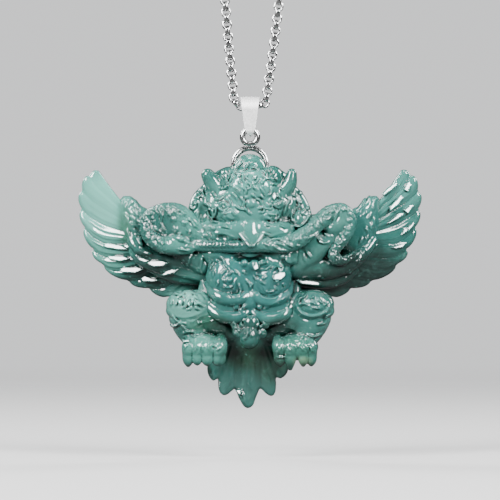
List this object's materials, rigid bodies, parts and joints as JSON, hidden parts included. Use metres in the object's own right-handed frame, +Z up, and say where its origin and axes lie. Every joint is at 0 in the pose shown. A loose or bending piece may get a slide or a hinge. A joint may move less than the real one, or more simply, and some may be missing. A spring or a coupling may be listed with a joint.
{
  "type": "bird pendant necklace",
  "caption": "Carved jade pendant of a bird with spread wings biting a snake, hung from a silver hoop, bail and box-link neck chain, shown hanging.",
  "frame": {"origin": "the point at the top of the chain's loop, on its lower side, where it rests on what it hangs from", "axes": "X to the viewer's right, -Y towards the viewer, whom the carving faces, and Z up along the hanging loop"},
  "size_m": [0.0684, 0.0179, 0.2767],
  "materials": {
    "jade": "polished jade, translucent sea green",
    "silver": "polished"
  },
  "bodies": {
    "chain": {"neck_chain": "silver", "clasp": "silver"},
    "bail": {"bail": "silver"},
    "hanger": {"hanger": "silver"},
    "stone": {"jade_bird": "jade"}
  },
  "joints": [
    {"name": "bail_swing", "type": "hinge", "parent": "chain", "child": "bail", "pos_m": [0, 0, -0.2144], "axis": [1, 0, 0], "range_deg": [-35, 35]},
    {"name": "hanger_swing", "type": "hinge", "parent": "bail", "child": "hanger", "pos_m": [0, 0, -0.21893], "axis": [1, 0, 0], "range_deg": [-30, 30]},
    {"name": "stone_swing", "type": "hinge", "parent": "hanger", "child": "stone", "pos_m": [0, 0, -0.22898], "axis": [1, 0, 0], "range_deg": [-5, 45]}
  ]
}
